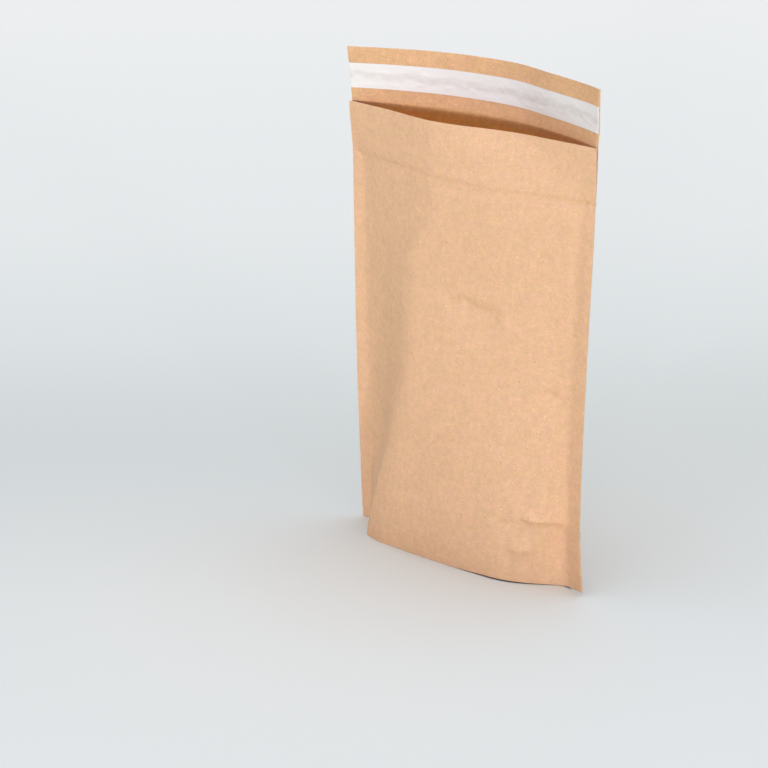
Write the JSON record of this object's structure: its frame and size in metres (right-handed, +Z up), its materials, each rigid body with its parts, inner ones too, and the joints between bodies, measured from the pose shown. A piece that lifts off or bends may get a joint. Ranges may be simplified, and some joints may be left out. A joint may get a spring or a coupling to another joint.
{
  "type": "paper courier bag",
  "caption": "Kraft paper mailing bag standing open, with gusseted base, bonded side seams, raised flap, glue band and release liner.",
  "frame": {"origin": "bottom centre of the bounding box, on the ground under the middle of the base", "axes": "+Z up towards the flap, +X across the width to the right as seen from the front, -Y to the front, where the mouth and the liner show"},
  "size_m": [0.2992, 0.0818, 0.452],
  "materials": {
    "kraft_paper": "brown kraft paper, matt, softly creased",
    "adhesive": "tacky hot-melt glue under the liner",
    "liner_paper": "white siliconised paper, slightly glossy, bubbled over the glue"
  },
  "bodies": {
    "root": {"paper_bag": "kraft_paper", "adhesive_strip": "adhesive", "release_liner": "liner_paper"}
  },
  "joints": []
}
